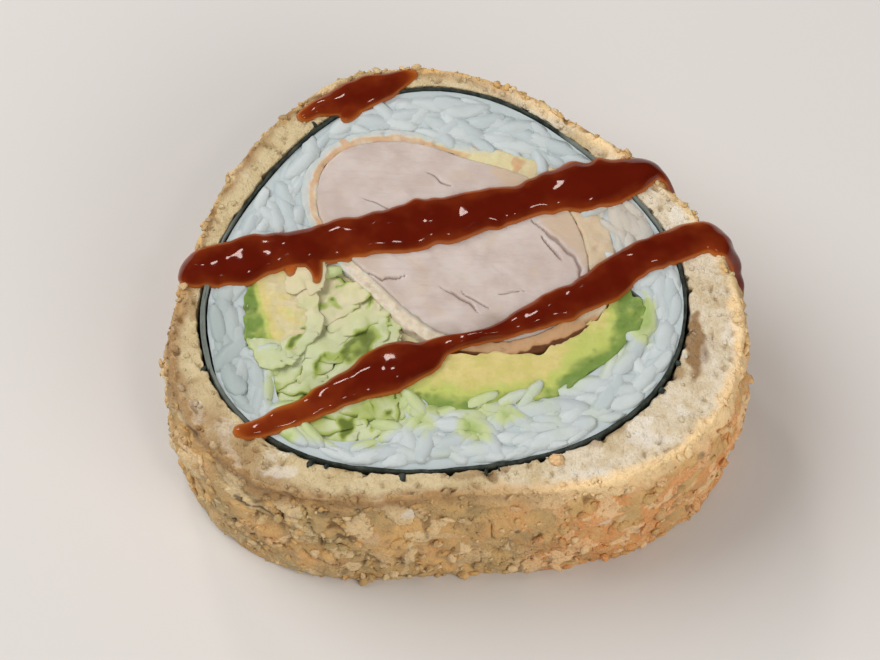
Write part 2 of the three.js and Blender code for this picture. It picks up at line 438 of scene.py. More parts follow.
def buildStudio():
    camera = bpy.data.objects.new("camera", bpy.data.cameras.new("camera"))
    bpy.context.scene.collection.objects.link(camera)
    tilt = math.radians(view["elevation"])
    face = Vector((*faceMiddle, sliceHeight))
    camera.location = (face + view["distance"] * Vector((0, -math.cos(tilt), math.sin(tilt)))) * mm
    camera.rotation_euler = (Vector(view["aim"]) * mm - camera.location).to_track_quat("-Z", "Y").to_euler()
    camera.data.lens = view["lens"]
    camera.data.sensor_width = 36
    camera.data.clip_start = 0.01
    bpy.context.scene.camera = camera

    finish = Finish("pale_floor", Roughness=0.45, Base_Color=colour(studio["floor"]))
    mesh = bpy.data.meshes.new("floor")
    mesh.from_pydata([(-2, -2, 0), (2, -2, 0), (2, 2, 0), (-2, 2, 0)], [], [(0, 1, 2, 3)])
    mesh.materials.append(finish.material)
    floor = bpy.data.objects.new("floor", mesh)
    bpy.context.scene.collection.objects.link(floor)

    for name, place, aim, size, watts, tint in studio["lights"]:
        lamp = bpy.data.lights.new(name, "AREA")
        lamp.shape, lamp.size, lamp.energy, lamp.color = "DISK", size * mm, watts, colour(tint)[:3]
        holder = bpy.data.objects.new(name, lamp)
        holder.location = Vector(place) * mm
        holder.rotation_euler = (Vector(aim) - Vector(place)).to_track_quat("-Z", "Y").to_euler()
        holder.visible_glossy = size < 100  # only the small lamps are mirrored in wet surfaces
        bpy.context.scene.collection.objects.link(holder)
    world = bpy.data.worlds.new("studio")
    world.use_nodes = True
    background = world.node_tree.nodes["Background"]
    background.inputs["Color"].default_value = colour(studio["world"])
    background.inputs["Strength"].default_value = studio["worldStrength"]
    bpy.context.scene.world = world
    world.cycles_visibility.glossy = False
    bpy.context.scene.view_settings.view_transform = "Standard"


# Fried crust

crust = {
    "columns": 720, "wallRows": 58, "faceRows": 25, "innerRows": 8, "top": 17.85,
    "centre": (0.6, -1.7), "fallen": (11.4, -20.9, 17.95), "fallenSize": (1.6, 1.3, 0.9),
    "flakes": [  # how many, first and last row they lie on, size from and to, flatness, sunk by
        (1500, 2, 56, 0.2, 0.9, 0.55, 0.3),  # wall
        (200, 55, 62, 0.2, 0.6, 0.6, 0.35), (200, 60, 82, 0.14, 0.34, 0.75, 0.5),  # upper rim and face
        (200, 111, 116, 0.2, 0.6, 0.6, 0.35), (200, 92, 114, 0.14, 0.34, 0.75, 0.5),  # lower rim and face
    ],
    "marks": [  # on the near wall: x, z, half width, half height, how pale (or dark, below zero)
        (-18.6, 12.7, 2.6, 0.35, -1.0), (-20.6, 13.3, 0.8, 0.5, -0.9), (-10.5, 15.2, 2.6, 1.0, -0.55),
        (-3.2, 15.4, 1.7, 1.0, 0.9), (-1.6, 12.2, 0.7, 2.4, -0.7), (-7.0, 11.5, 1.8, 1.1, 0.5),
        (6.5, 13.6, 2.4, 1.6, -0.3), (4.0, 8.5, 1.2, 0.9, 0.5), (16.5, 11.0, 0.8, 0.7, 0.8),
        (-4.0, 1.2, 3.2, 0.7, -0.8), (-15.5, 2.5, 1.2, 0.5, -0.5), (12.0, 1.2, 2.0, 0.4, -0.6),
    ],
    "cutMarks": [  # on the cut face: x, y, half width, half depth, how pale
        (-15.8, -22.0, 2.4, 0.9, 0.75), (20.3, -18.5, 3.0, 1.1, 0.8), (14.5, -22.3, 2.2, 0.8, 0.7),
        (27.1, -9.0, 1.2, 3.0, 0.6),
    ],
}


def friedFinish():
    finish = Finish("fried_crumb", Roughness=0.62, Subsurface_Weight=0.12, Subsurface_Scale=0.001,
                    Subsurface_Radius=(1.0, 0.7, 0.4))
    fried, warm, painted_hollow_shade, mark, own, side = map(
        finish.tone, ("fried", "warm", "painted_hollow_shade", "mark", "own", "side"))
    patches, grain, fine = finish.noise(4.5), finish.noise(0.9, 4), finish.noise(0.28, 2)
    # painted shade: the wall turns dark brown in its crevices and valleys, and the cut face darker in its
    # pores
    wall = finish.layers(
        (222, 180, 118), ((patches + 0.5 * own).between(0.45, 0.9), (176, 154, 108)),
        (warm * (grain + own).between(0.55, 1.2) * 0.9, (226, 150, 84)),
        ((own + 0.7 * fine).between(0.8, 1.35) * 0.7, (244, 216, 168)),
        (finish.noise(0.5, 3).between(0.55, 0.72) * 0.35, (180, 132, 76)),
        (painted_hollow_shade.between(0.25, 1.0) * 0.75, (112, 80, 44)))
    cut = finish.layers(
        (208, 190, 150), (side, (221, 208, 184)), (grain.between(0.45, 0.75) * 0.45, (188, 166, 124)),
        ((patches + 0.3 * fine).between(0.55, 0.85) * 0.75, (184, 160, 114)),
        ((own + 0.5 * fine).between(1.05, 1.3) * 0.8, (232, 226, 212)),
        (painted_hollow_shade.between(0.35, 1.0) * 0.5, (164, 138, 98)),
        (finish.tone("stain").between(0.1, 0.9) * 0.85, (136, 100, 56)))
    rim = finish.mix(side, (156, 120, 78), (250, 218, 166))
    both = finish.layers(
        cut, (fried, wall), (finish.tone("golden") * (0.5 + grain), rim),
        ((0 - mark).between(0.2, 1.0) * 0.8, (86, 68, 46)), (mark.between(0.25, 1.0) * 0.75, (226, 218, 204)))
    return finish.feed(height=grain + 0.8 * fine, depth=0.28, Base_Color=both, Roughness=0.5 + 0.35 * grain)


def buildCrust():
    # heights and directions round the ring; the wall's reach comes from the CAD node at each height
    starts, directions = fan(crust["columns"], onFace(crust["centre"]))
    heights = np.linspace(0.05, crust["top"], crust["wallRows"])
    levels = np.linspace(0.5, 17.0, 12)
    walls = np.stack([reach(cutEdges("crust", z), starts, directions, True) for z in levels])
    walls = rounded(walls, 3, 1)
    place = np.interp(heights, levels, np.arange(len(levels)))
    lower = np.minimum(place.astype(int), len(levels) - 2)
    share = (place - lower)[:, None]
    outer = (1 - share) * walls[lower] + share * walls[lower + 1]
    inner = rounded(reach(cutEdges("crust"), starts, directions), 3) - 0.38
    grid = band(starts, directions, inner, outer, heights, crust["faceRows"], crust["innerRows"])
    grid = rounded(grid, 2)

    # how far each point lies outside, from 0 on the cut faces to 1 on the wall
    radius = np.linalg.norm(grid[..., :2] - starts, axis=-1)
    rim = np.concatenate([outer, np.repeat(outer[-1:], crust["faceRows"] + crust["innerRows"], 0),
                          np.repeat(outer[:1], crust["faceRows"], 0)])
    onWall = np.arange(len(grid))[:, None] < crust["wallRows"]
    fromRim = np.where(onWall, 0.0, rim - radius)
    fried = 1 - smoothStep(fromRim + 0.35 * noise(grid, 0.9, 5), 0.25, 0.85)

    # relief: crumbs of three sizes with narrow valleys between, on slow swells; pores where it is cut
    x, y, z = np.moveaxis(grid, -1, 0)
    warped = grid + 0.55 * np.stack([noise(grid, 1.7, 20 + k) for k in range(3)], -1)
    coarse, own = lumps(warped, 2.5, 31)
    middle, ownMiddle = lumps(warped, 1.25, 41)
    small, _ = lumps(grid, 0.7, 51)
    crevice = 1 - smoothStep(np.abs(noise(warped * [1, 1, 1.5], 3.6, 55, 2)), 0.02, 0.14)
    crevice = crevice * smoothStep(noise(grid, 5.0, 57), 0.0, 0.45)
    wallRelief = (0.5 * (coarse - 0.45) + 0.35 * (own - 0.5) * smoothStep(coarse, 0.15, 0.5)
                  + 0.36 * (middle - 0.45) + 0.24 * (small - 0.4) + 0.35 * noise(grid, 5.0, 61, 3)
                  - 0.45 * crevice)
    pores = smoothStep(middle, 0.52, 0.8) * (ownMiddle > 0.5)
    cutRelief = -0.42 * pores + 0.16 * (small - 0.4) + 0.16 * noise(grid, 1.2, 71, 2)
    fullWall = smoothStep(np.minimum(z, crust["top"] - z), -0.1, 1.6)
    relief = fried * (0.45 + 0.55 * fullWall) * wallRelief + (1 - fried) * cutRelief
    normal = normalsOf(grid, True)
    coat = grid + normal * relief[..., None]
    coat[..., 2] += 0.18 * noise(grid, 7.0, 81) * (z > halfHeight)
    coat[..., 2] = np.maximum(coat[..., 2], 0.05)

    # tones from 0 to 1, apart from the marks, which are below zero where they are dark
    corner = spot(x, y, (-22.5, -18.5), (1, 1), 3.5, 9.0)  # where it is browned further in
    golden = fromRim / (1 + 1.8 * corner) + 0.5 * noise(grid, 2.2, 113, 2)
    golden = (1 - smoothStep(golden, 0.2, 1.7)) * (1 - fried) * (1 - 0.4 * corner)
    atTop = smoothStep(z + 1.2 * noise(grid, 2.6, 115, 2), 14.6, 17.4)
    golden = np.maximum(golden, 0.85 * fried * atTop * smoothStep(-y, -2.0, 6.0))
    # painted shade for the crevices and valleys of the wall and for the pores of the cut face
    painted_hollow_shade = np.where(fried > 0.5, np.maximum(smoothStep(-wallRelief, -0.1, 0.7), 0.9 * crevice), pores)
    toRight, toFront = smoothStep(x + 2.5 * noise(grid, 5.0, 91, 2), -1.0, 17.0), smoothStep(-y, -6.0, 16.0)
    warm = (0.85 - 0.45 * smoothStep(z, 13.0, 17.0)) * toRight * toFront
    warm = np.clip(0.12 + warm + 0.25 * noise(grid, 3.5, 95), 0, 1)
    mark = np.zeros(grid.shape[:2])
    ragged = 0.45 * noise(grid, 1.1, 99, 2)
    wallMarks, cutMarks = (crust["marks"], z, onWall * (y < -12)), (crust["cutMarks"], y, z > 17)
    for marks, other, where in (wallMarks, cutMarks):
        for *place, wide, tall, pale in marks:
            mark += pale * spot(x - faceMiddle[0], other, place, (wide, tall), 0.55, 1.15, ragged) * where
    beside = 1 - smoothStep(radius - inner + 0.8 * noise(grid, 1.8, 109, 2), 0.3, 1.3)  # next to the nori
    stain = np.maximum(spot(x, y, (24.1, -7.4), (1, 2.4), 0.6, 1.8, 1.5 * ragged) * (z > halfHeight),
                       0.55 * beside * smoothStep(noise(grid, 3.0, 111, 2), -0.1, 0.5))
    stain *= fromRim > 0.4
    blotch = noise(grid, 3.2, 103, 3)
    mark -= 0.8 * smoothStep(blotch, 0.62, 0.95) * onWall * (np.abs(mark) < 0.1)
    side = smoothStep(x + 3 * noise(grid, 4.0, 107), -6.0, 14.0)
    material = friedFinish()
    tones = {"fried": fried, "warm": warm, "painted_hollow_shade": painted_hollow_shade, "mark": mark, "own": own, "side": side,
             "stain": stain, "golden": golden}
    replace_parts(surface("crust_coat", coat, material, "fried_crumbs", True, **tones), "crust")
    buildFlakes(coat, tones, material)


def buildFlakes(coat, tones, material):
    # loose flakes: a ball of 40 faces, its points pushed in and out, laid half sunk on the coat
    rng = np.random.default_rng(17)
    normal = normalsOf(coat, True)
    parts, ownTones = [], {key: [] for key in tones}
    for count, first, last, least, most, flatness, sunk in crust["flakes"]:
        row = rng.integers(first, last, count)
        column = rng.integers(0, crust["columns"], count)
        size = least + (most - least) * rng.random(count) ** 3
        shape = jagged(rng, count)
        shape = shape * np.stack([size, size * rng.uniform(0.5, 0.95, count),
                                  size * flatness * rng.uniform(0.6, 1.1, count)], -1)[:, None, None]
        lean = unit(normal[row, column] + rng.normal(0, 0.28, (count, 3)))
        axes = frames(lean, rng.uniform(0, 2 * np.pi, count))
        placed = copies(shape, axes, coat[row, column]
                        + normal[row, column] * (size * (flatness - sunk) * 0.5)[:, None])
        placed[..., 2] = np.maximum(placed[..., 2], feet(count, 0.0, 0.045))
        parts.append(placed)
        values = {key: tone[row, column] for key, tone in tones.items()}
        # loose flakes get a little painted shade at random
        values["painted_hollow_shade"] = 0.12 * rng.random(count)
        values["own"] = rng.random(count)
        values["mark"] = np.clip(0.5 * values["mark"], -0.4, 0.6)
        values["stain"] = 0.7 * values["stain"]
        for key, value in values.items():
            ownTones[key].append(value)
    fallen = np.append(onFace(crust["fallen"][:2]), crust["fallen"][2])
    parts.append(jagged(rng, 1) * 0.5 * np.array(crust["fallenSize"]) + fallen)  # a browned crumb on the cut
    for key, value in ownTones.items():
        value.append(np.array([{"fried": 1.0, "warm": 0.6, "own": 0.8}.get(key, 0.0)]))
    flakes = {key: np.concatenate(value)[:, None, None] for key, value in ownTones.items()}
    surface("crust_flakes", np.concatenate(parts), material, "fried_crumbs", **flakes)


# Nori

nori = {
    "columns": 540, "rows": 40, "middle": (-0.2, -0.8), "overlap": 186, "spread": 17,
    "sheet": 0.42, "top": 18.0,
    "scraps": [  # on the cut coat just outside the ring: x, y, length, width
        (-4.0, -23.3, 1.1, 0.75), (2.7, -22.8, 0.75, 0.4), (4.6, -23.0, 0.9, 0.4), (6.0, -22.9, 0.8, 0.35),
        (-12.6, -20.4, 1.2, 0.7), (-11.2, -21.0, 0.7, 0.5), (21.5, -12.6, 0.7, 0.8), (22.6, -9.4, 0.6, 0.9),
        (-14.0, 19.6, 0.9, 0.4), (-9.8, 21.4, 0.8, 0.4), (-24.3, -10.6, 0.9, 0.5), (15.5, -18.4, 0.6, 0.6)],
    "scrapHeight": 17.82,
}


def buildNori():
    # one sheet wound a little more than once: its section is a thin upright loop, and where its
    # two ends lie double one keeps outside the other
    finish = Finish("nori_sheet", Roughness=0.42)
    grain, fine = finish.noise(0.8, 4), finish.noise(0.25, 3)
    base = finish.mix(grain.between(0.35, 0.7), (34, 40, 36), (64, 72, 64))
    base = finish.mix(finish.tone("faded") * (0.6 + 0.5 * grain), base, (116, 124, 116))
    material = finish.feed(height=grain + fine, depth=0.08, Base_Color=base, Roughness=0.36 + 0.3 * fine)

    start, spread = math.radians(nori["overlap"]), math.radians(nori["spread"])
    turn = np.linspace(start - spread, start + 2 * np.pi + spread, nori["columns"])
    directions = np.stack([np.cos(turn), np.sin(turn)], -1)
    starts = np.broadcast_to(onFace(nori["middle"]), directions.shape)
    edges = cutEdges("nori")
    inner = rounded(reach(edges, starts, directions), 2, closed=False)
    outer = rounded(reach(edges, starts, directions, True), 2, closed=False)
    progress = (turn - turn[0]) / (turn[-1] - turn[0])
    inside, outside = 1 - smoothStep(progress, 0.02, 0.13), smoothStep(progress, 0.87, 0.98)
    half = nori["sheet"] / 2
    wave = np.stack([turn * 24, 0 * turn, 0 * turn], -1)
    middle = (inner + outer) / 2 + 0.6 * half * (outside - inside) + 0.08 * noise(wave, 3.0, 3, 2)
    taper = 0.02 + 0.98 * smoothStep(np.minimum(progress, 1 - progress), 0, 0.002)
    loop = np.arange(nori["rows"]) / nori["rows"] * 2 * np.pi
    up = np.clip(1.35 * np.cos(loop), -1, 1)  # straight sides and rounded edges
    out = np.clip(1.2 * np.sin(loop), -1, 1)
    width = half * (0.85 + 0.3 * noise(wave, 5.0, 12, 2))
    top = nori["top"] + 0.14 * noise(wave, 2.2, 4, 3) - 0.2 * smoothStep(noise(wave, 9.0, 6), 0.2, 0.8)
    radius = middle[:, None] + (width * taper)[:, None] * out
    height = 0.5 * top[:, None] + 0.5 * (top[:, None] - 0.06) * up + 0.03
    grid = np.concatenate([starts[:, None] + radius[..., None] * directions[:, None], height[..., None]], -1)
    grid[[0, -1]] = np.where([True, True, False], grid[[0, -1]].mean(1, keepdims=True), grid[[0, -1]])
    grid[..., :2] += 0.04 * noise(grid, 1.4, 8, 2)[..., None] * directions[:, None]
    x, y = grid[..., 0], grid[..., 1]
    # the sheet turns lighter grey at the far left and at the upper right
    farLeft = 1 - smoothStep(x + 2 * noise(grid, 4.0, 9), -23.5, -20.0)
    farRight = smoothStep(x + 0.8 * noise(grid, 1.5, 10), 10.0, 12.0) * smoothStep(y, 3.0, 6.0)
    faded = np.maximum(farLeft, farRight)
    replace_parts(surface("nori_wrap", grid, material, "nori", faded=faded), "nori")

    # small scraps that show outside the ring where the coat is cut
    rng = np.random.default_rng(5)
    scraps = np.array(nori["scraps"])
    places = onFace(scraps[:, :2]) - onFace(nori["middle"])
    size = np.concatenate([scraps[:, 2:], np.full((len(scraps), 1), 0.5)], 1) / 2
    angle = np.arctan2(places[:, 1], places[:, 0])
    outward = np.stack([np.cos(angle), np.sin(angle)], -1)
    far = np.interp((angle - turn[0]) % (2 * np.pi) + turn[0], turn, outer) + 0.7 * size[:, 0]
    centre = np.concatenate([onFace(nori["middle"]) + far[:, None] * outward,
                             np.full((len(far), 1), nori["scrapHeight"])], 1)
    shape = jagged(rng, len(far)) * size[:, None, None]
    angle = angle + rng.normal(0, 0.3, len(far))
    axes = np.stack([np.stack([np.cos(angle), np.sin(angle), 0 * angle], -1),
                     np.stack([-np.sin(angle), np.cos(angle), 0 * angle], -1),
                     np.tile([0.0, 0.0, 1.0], (len(far), 1))], 1)
    surface("nori_scraps", copies(shape, axes, centre), material, "nori", faded=0.0)


# Rice

rice = {
    "core": (0.3, 17.7), "grow": 0.34, "spacing": 1.72, "jitter": 0.45,
    "length": (4.6, 6.2), "width": (2.0, 2.5), "layers": (0.72, 1.2), "rows": 7, "columns": 8,
    "pressed": 0.86, "sheetGap": 0.06,
    "greens": [  # smears of the filling: x, y, size
        (3.3, -17.2, 1.5), (6.2, -15.8, 1.3), (-2.2, -16.6, 1.3), (-15.6, -18.4, 1.0)],
}


def buildRice():
    finish = Finish("cooked_rice", Roughness=0.3, Subsurface_Weight=0.06, Subsurface_Scale=0.0008,
                    Subsurface_Radius=(1.0, 0.98, 0.95))
    own, soft, fine = finish.tone("own"), finish.noise(2.2), finish.noise(0.35, 2)
    green = finish.tone("green")
    # painted shade: the grains turn darker grey-blue towards the far left, beside the nori
    base = finish.layers(
        (181, 191, 192), (own, (197, 205, 204)), (soft.between(0.45, 0.8) * 0.4, (176, 188, 184)),
        (finish.tone("painted_shade_left") * 0.8, (152, 164, 160)), (finish.tone("warm") * 0.7, (196, 182, 162)),
        ((green * (0.5 + soft)).between(0.08, 0.55) * 0.9, (188, 199, 140)),
        ((green * (0.6 + 0.8 * soft)).between(0.5, 1.0) * 0.8, (150, 174, 92)))
    material = finish.feed(height=fine, depth=0.04, Base_Color=base, Roughness=0.28 + 0.2 * soft)
    core = clippedCore("rice_core", "rice", *rice["core"], rice["grow"], material, "rice")
    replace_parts(core, "rice")

    # grains: on a staggered lattice inside the rice's outline, two layers at either cut face; near
    # an edge a grain lies along it, and a few stick out over the filling beside them
    rng = np.random.default_rng(29)
    edges, fleshEdges, leafEdges = cutEdges("rice"), cutEdges("avocado_slice"), cutEdges("lettuce")
    middle = onFace(nori["middle"])
    turns = np.linspace(-np.pi, np.pi, 721)
    around = np.stack([np.cos(turns), np.sin(turns)], -1)
    sheet = reach(cutEdges("nori"), np.broadcast_to(middle, around.shape), around) - rice["sheetGap"]
    step = rice["spacing"]
    egg = ball(rice["rows"], rice["columns"])
    body = np.concatenate([np.sign(egg[..., :1]) * np.abs(egg[..., :1]) ** 0.9,
                           egg[..., 1:] * (1 - 0.12 * egg[..., :1])], -1)
    body[..., 2] += 0.16 * (egg[..., 0] ** 2 - 0.4)  # a slight bend
    grains, tones = [], {"own": [], "green": [], "painted_shade_left": [], "warm": []}
    for face in (1, -1):
        for layer, depth in enumerate(rice["layers"]):
            across = np.arange(-30, 30, step)
            x, y = np.meshgrid(across, across * 0.866)
            x = x + 0.5 * step * (np.arange(len(across))[:, None] % 2) + 0.4 * step * layer
            places = np.stack([x.ravel(), y.ravel() + 0.3 * step * layer], -1)
            places += rng.normal(0, rice["jitter"], places.shape)
            offset = places - middle
            wrapRoom = np.interp(np.arctan2(offset[:, 1], offset[:, 0]), turns, sheet)
            wrapRoom = wrapRoom - np.linalg.norm(offset, axis=1)
            places, wrapRoom = places[wrapRoom > 0.5], wrapRoom[wrapRoom > 0.5]
            room = edgeDistance(edges, places) + rice["grow"]
            faceX, faceY = fromFace(places)
            below = (np.abs(faceX - 2) < 8) & (faceY < -12.5)  # below the avocado, where more stick out
            over = (room < 0.35) & (room > -0.25 - 0.5 * below) & (wrapRoom > 1.5)
            over &= rng.random(len(places)) < 0.4 + 0.3 * below
            over &= (layer == 0) & ((places[:, 0] - 2 * places[:, 1] < 22) | below)
            kept = (room > 0.35) | over
            places, room, over = places[kept], room[kept], over[kept]
            slope = np.stack([edgeDistance(edges, places + aside) - edgeDistance(edges, places)
                              for aside in ([0.15, 0], [0, 0.15])], -1)
            along = np.arctan2(slope[:, 1], slope[:, 0]) + np.pi / 2
            count = len(places)
            free = rng.uniform(0, np.pi, count)
            angle = np.where((room < 2.0) & ~over, along + rng.normal(0, 0.3, count), free)
            fit = np.where(over, 0.8, np.clip(room / 1.2, 0.7, 1))
            length = rng.uniform(*rice["length"], count) / 2 * np.maximum(fit, 0.8)
            width = rng.uniform(*rice["width"], count) / 2 * fit
            tilt = rng.normal(0, 0.15, count)
            c, s = np.cos(angle), np.sin(angle)
            first = np.stack([c * np.cos(tilt), s * np.cos(tilt), np.sin(tilt)], -1)
            second = np.stack([-s, c, 0 * c], -1)
            axes = np.stack([first, second, np.cross(first, second)], 1)
            roll = rng.uniform(0, 2 * np.pi, count)
            turned = body[None] * np.stack([length, width, width * 0.92], -1)[:, None, None]
            cr, sr = np.cos(roll)[:, None, None], np.sin(roll)[:, None, None]
            turned = np.stack([turned[..., 0], cr * turned[..., 1] - sr * turned[..., 2],
                               sr * turned[..., 1] + cr * turned[..., 2]], -1)
            height = sliceHeight - depth + rng.normal(0, 0.14, count) + 0.15 * over
            placed = copies(turned, axes, np.concatenate([places, height[:, None]], 1))
            placed += 0.07 * noise(placed, 1.3, 33)[..., None] * np.sign(turned)
            proud = placed[..., 2] - sliceHeight - 0.12 * noise(placed * [1, 1, 0], 4.0, 37)
            proud -= 0.15 * over[:, None, None]
            placed[..., 2] -= np.where(proud > 0, rice["pressed"] * proud, 0)  # the knife presses them level
            offset = placed[..., :2] - middle
            allowed = np.interp(np.arctan2(offset[..., 1], offset[..., 0]), turns, sheet)
            allowed = np.minimum(1, allowed / np.linalg.norm(offset, axis=-1))
            placed[..., :2] = middle + allowed[..., None] * offset  # the sheet holds the grains in
            if face < 0:
                lowest = feet(count, 0.02, 0.14, 0.31 * layer)
                placed[..., 2] = np.maximum(sliceHeight - placed[..., 2], lowest)
            grains.append(placed)
            flat = placed[..., :2].reshape(-1, 2)
            onX, onY = fromFace(placed)
            patchy = noise(placed, 1.8, 39, 2)
            besideFlesh = edgeDistance(fleshEdges, flat).reshape(onX.shape) + 0.8 * patchy
            besideLeaf = edgeDistance(leafEdges, flat).reshape(onX.shape) + 0.8 * patchy
            smear = smoothStep(besideFlesh, -2.6, 0.4) * smoothStep(-onY, 3.0, 9.0)
            smear *= 0.3 + 0.7 * smoothStep(-onX, -8.0, 2.0)
            smear = np.maximum(smear, 0.7 * smoothStep(besideLeaf, -2.2, 0.5))
            smear = np.maximum(smear, (0.1 + 0.14 * patchy) * smoothStep(-onY, 10.0, 16.0))
            for *place, size in rice["greens"]:
                smear = np.maximum(smear, 0.9 * spot(onX, onY, place, (size, size), 0.3, 1.4, 0.6 * patchy))
            tip = spot(onX, onY, (20.4, -4.6), (1, 2.2), 0.6, 2.0, 0.5 * patchy)  # beside the avocado's tip
            tones["own"].append(np.broadcast_to(rng.random(count)[:, None, None], onX.shape))
            tones["green"].append(np.clip(np.maximum(smear, tip), 0, 1))
            # painted shade over the grains at the far left
            tones["painted_shade_left"].append(1 - smoothStep(onX + 0.2 * onY, -25.0, -19.0))
            tones["warm"].append(spot(onX, onY, (19.0, 7.0), (1, 1), 1.5, 5.0))
    tones = {name: np.concatenate(values) for name, values in tones.items()}
    surface("rice_grains", np.concatenate(grains), material, "rice", **tones)
    print("rice grains:", len(tones["own"]))


# Chicken and its batter

chicken = {
    "centre": (1.5, 4.7), "halfLine": 4.5, "turn": -33, "columns": 380, "faceRows": 64, "top": 18.1,
    "fibre": -42,
    "cracks": [  # a line on the cut face, its width and depth
        ([(9.2, 7.0), (10.4, 5.9), (11.9, 4.5), (13.3, 2.7), (14.2, 1.0), (14.5, -0.8)], 0.26, 0.3),
        ([(10.5, 5.0), (11.2, 3.6), (12.2, 2.2)], 0.3, 0.5),
        ([(-0.4, -0.9), (1.4, -1.9), (2.6, -2.7), (3.8, -4.1)], 0.24, 0.4),
        ([(1.8, -1.4), (3.4, -2.6), (4.6, -3.5)], 0.18, 0.25),
        ([(-7.8, 0.6), (-6.2, -0.3), (-3.9, 0.2)], 0.24, 0.35),
        ([(-1.5, 12.4), (-0.3, 11.4), (0.8, 11.2)], 0.24, 0.3),
        ([(-8.5, 9.8), (-5.0, 8.0), (-2.6, 7.6)], 0.16, 0.2),
        ([(5.5, -1.8), (8.5, -1.5)], 0.16, 0.2),
    ],
}
batter = {"columns": 420, "faceRows": 14, "innerRows": 8, "wallRows": 30, "top": 17.95}


def lineDistance(points, line):
    # distance to the nearest of a line's straight stretches, and how far along the line it is, 0 to 1
    line = onFace(line)
    best, where = np.full(points.shape[:-1], 99.0), np.zeros(points.shape[:-1])
    lengths = np.linalg.norm(np.diff(line, axis=0), axis=1)
    done = np.concatenate([[0], np.cumsum(lengths)])
    for i, (a, b) in enumerate(zip(line[:-1], line[1:])):
        share = np.clip(((points - a) @ (b - a)) / lengths[i] ** 2, 0, 1)
        away = np.linalg.norm(points - a - share[..., None] * (b - a), axis=-1)
        where = np.where(away < best, (done[i] + share * lengths[i]) / done[-1], where)
        best = np.minimum(best, away)
    return best, where


def chickenLine():
    # the line that the chicken and its batter spread from: its middle, half length and turn
    return onFace(chicken["centre"]), chicken["halfLine"], chicken["turn"]


def buildChicken():
    # a puck from the CAD outline: fine relief along the fibres, slow swells, and cracks whose
    # depth fades from the line to its width
    finish = Finish("cooked_chicken", Roughness=0.42, Subsurface_Weight=0.4, Subsurface_Scale=0.0015,
                    Subsurface_Radius=(1.0, 0.7, 0.55))
    turn = (0, 0, math.radians(-chicken["fibre"]))
    crack, grey, cream = finish.tone("crack"), finish.tone("grey"), finish.tone("cream")
    fibres = finish.noise(0.55, 3, 0.6, (turn, (0.14, 1, 0.3)))
    soft = finish.noise(3.5)
    # painted shade: the meat turns dark brownish grey inside its cracks
    base = finish.layers(
        (202, 190, 182), (soft.between(0.35, 0.7), (190, 174, 165)), (cream, (196, 174, 148)),
        (fibres.between(0.5, 0.75) * 0.3, (184, 164, 158)), (grey * 0.6, (160, 146, 134)),
        (crack.between(0.1, 0.9) * 0.6, (124, 100, 90)))
    material = finish.feed(height=fibres, depth=0.08, Base_Color=base, Roughness=0.34 + 0.25 * soft)

    starts, directions = fan(chicken["columns"], *chickenLine())
    outer = rounded(reach(cutEdges("chicken"), starts, directions), 2) + 0.15
    side = np.linspace(chicken["top"], 0.0, 16)
    grid = puck(starts, directions, outer, side, chicken["faceRows"])
    grid = rounded(grid, 2, closed=False)
    c, s = math.cos(turn[2]), math.sin(turn[2])
    stretched = np.stack([(grid[..., 0] * c - grid[..., 1] * s) / 6, grid[..., 0] * s + grid[..., 1] * c,
                          grid[..., 2] / 4], -1)
    relief = 0.07 * noise(stretched, 1.1, 3, 3) + 0.14 * noise(grid, 4.0, 5, 2)
    # the crack mask also paints shade into the cracks
    crack = np.zeros(grid.shape[:2])
    wander = 0.22 * np.stack([noise(grid, 1.2, 7), noise(grid, 1.2, 8)], -1)
    for line, width, depth in chicken["cracks"]:
        away, where = lineDistance(grid[..., :2] + wander, line)
        slim = width * (0.35 + 0.65 * np.sin(np.pi * np.clip(where, 0.02, 0.98)))
        cut = 1 - smoothStep(away, 0.15 * slim, slim)
        relief = relief - depth * cut
        crack = np.maximum(crack, cut)
    upper, level = onFaces(grid)
    grid[..., 2] += np.where(upper, relief, -0.4 * relief + 0.05) * level
    grid[..., 2] = np.maximum(grid[..., 2], 0)
    x, y = fromFace(grid)
    underEdge, _ = lineDistance(grid[..., :2], [(-8.5, -0.5), (-6.5, -3.5), (-3.0, -5.2), (1.0, -6.6)])
    grey = 1 - smoothStep(underEdge + 0.5 * noise(grid, 1.5, 12), 0.3, 1.3)
    under = smoothStep(-y + 0.4 * noise(grid, 1.4, 13), 3.9, 5.2) * smoothStep(x, 2.0, 5.0)
    beyond = 0.757 * (x - 11.6) + 0.653 * (y - 4.6) + 0.5 * noise(grid, 1.6, 14, 2)
    cream = np.maximum(smoothStep(beyond, 0.0, 1.0), 0.4 * smoothStep(noise(grid, 3.0, 15, 2), 0.4, 0.9))
    meat = surface("chicken_meat", grid, material, "chicken", crack=crack * upper,
                   grey=np.maximum(grey, under), cream=0.85 * cream)
    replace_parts(meat, "chicken")


